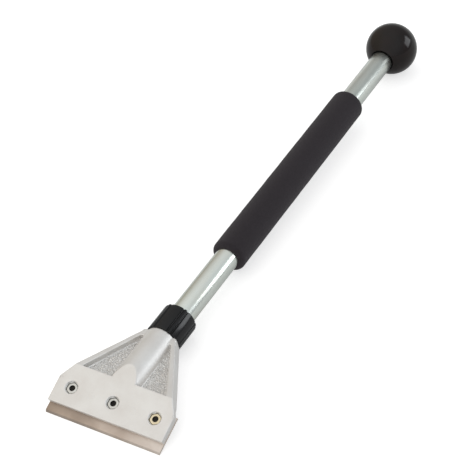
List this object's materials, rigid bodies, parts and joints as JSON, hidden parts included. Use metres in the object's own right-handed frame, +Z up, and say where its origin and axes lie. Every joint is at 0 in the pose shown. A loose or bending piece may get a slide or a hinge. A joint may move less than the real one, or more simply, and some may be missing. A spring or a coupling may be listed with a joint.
{
  "type": "floor scraper",
  "caption": "Hand scraper with a cast ribbed head, a wide blade clamped by screws and sunk nuts, a locking collar and a straight tube handle with foam grip and ball knob.",
  "frame": {"origin": "Centre of the bounding box at floor level: the tool lies nut face up on its cutting edge and its ball.", "axes": "+X along the cutting edge, +Y from the blade towards the ball along the handle's plan, +Z up from the floor the tool lies on"},
  "size_m": [0.127, 0.6668, 0.06],
  "materials": {
    "cast_aluminium": "bead-blasted casting",
    "blade_steel": "ground spring steel",
    "plated_steel": "zinc plated",
    "zinc_nut": "bright zinc",
    "brass_nut": "yellow plated",
    "black_screw": "black oxide",
    "black_nylon": "semi-gloss moulded",
    "pale_plastic": "natural acetal",
    "zinc_tube": "zinc-plated drawn tube",
    "dark_plastic": "moulded",
    "grip_foam": "closed-cell foam",
    "insert_brass": "turned",
    "gloss_knob": "polished thermoset"
  },
  "bodies": {
    "head": {"head_casting": "cast_aluminium", "nut_left": "zinc_nut", "nut_middle": "zinc_nut", "nut_right": "brass_nut"},
    "clamp": {"clamp_plate": "plated_steel", "washer_left": "zinc_nut", "washer_middle": "zinc_nut", "washer_right": "zinc_nut"},
    "screw_left": {"clamp_screw_left": "black_screw"},
    "screw_middle": {"clamp_screw_middle": "black_screw"},
    "screw_right": {"clamp_screw_right": "black_screw"},
    "blade": {"blade": "blade_steel"},
    "collar_thrust": {"thrust_washer": "pale_plastic"},
    "collar": {"locking_collar": "black_nylon"},
    "collet": {"split_collet": "pale_plastic"},
    "handle": {"handle_tube": "zinc_tube", "lower_tube_plug": "dark_plastic", "upper_tube_plug": "plated_steel", "foam_grip": "grip_foam", "knob_stud": "plated_steel", "knob_insert": "insert_brass", "ball_knob": "gloss_knob"}
  },
  "joints": [
    {"name": "clamp_open", "type": "slide", "parent": "head", "child": "clamp", "axis": [0, 0.3455, -0.9384], "range_m": [0, 0.0015]},
    {"name": "screw_left_turn", "type": "hinge", "parent": "clamp", "child": "screw_left", "pos_m": [-0.0463, -0.30751, 0.01216], "axis": [0, 0.3455, -0.9384], "range_deg": [0, 540]},
    {"name": "screw_middle_turn", "type": "hinge", "parent": "clamp", "child": "screw_middle", "pos_m": [0, -0.30751, 0.01216], "axis": [0, 0.3455, -0.9384], "range_deg": [0, 540]},
    {"name": "screw_right_turn", "type": "hinge", "parent": "clamp", "child": "screw_right", "pos_m": [0.0463, -0.30751, 0.01216], "axis": [0, 0.3455, -0.9384], "range_deg": [0, 540]},
    {"name": "blade_slide", "type": "slide", "parent": "head", "child": "blade", "axis": [0, -0.9384, -0.3455], "range_m": [0, 0.03]},
    {"name": "collar_back_off", "type": "slide", "parent": "head", "child": "collar_thrust", "axis": [0, 0.9998, 0.0211], "range_m": [0, 0.003]},
    {"name": "collar_turn", "type": "hinge", "parent": "collar_thrust", "child": "collar", "pos_m": [0, -0.204, 0.01928], "axis": [0, 0.9998, 0.0211], "range_deg": [0, 540]},
    {"name": "handle_twist", "type": "hinge", "parent": "head", "child": "collet", "pos_m": [0, -0.204, 0.01928], "axis": [0, 0.9998, 0.0211], "continuous": true},
    {"name": "handle_slide", "type": "slide", "parent": "collet", "child": "handle", "axis": [0, 0.9998, 0.0211], "range_m": [0, 0.045]}
  ],
  "couplings": [
    {"joint": "screw_left_turn", "follows": "clamp_open", "rad_per_m": 6283.2},
    {"joint": "screw_middle_turn", "follows": "clamp_open", "rad_per_m": 6283.2},
    {"joint": "screw_right_turn", "follows": "clamp_open", "rad_per_m": 6283.2},
    {"joint": "collar_turn", "follows": "collar_back_off", "rad_per_m": 3141.6}
  ]
}
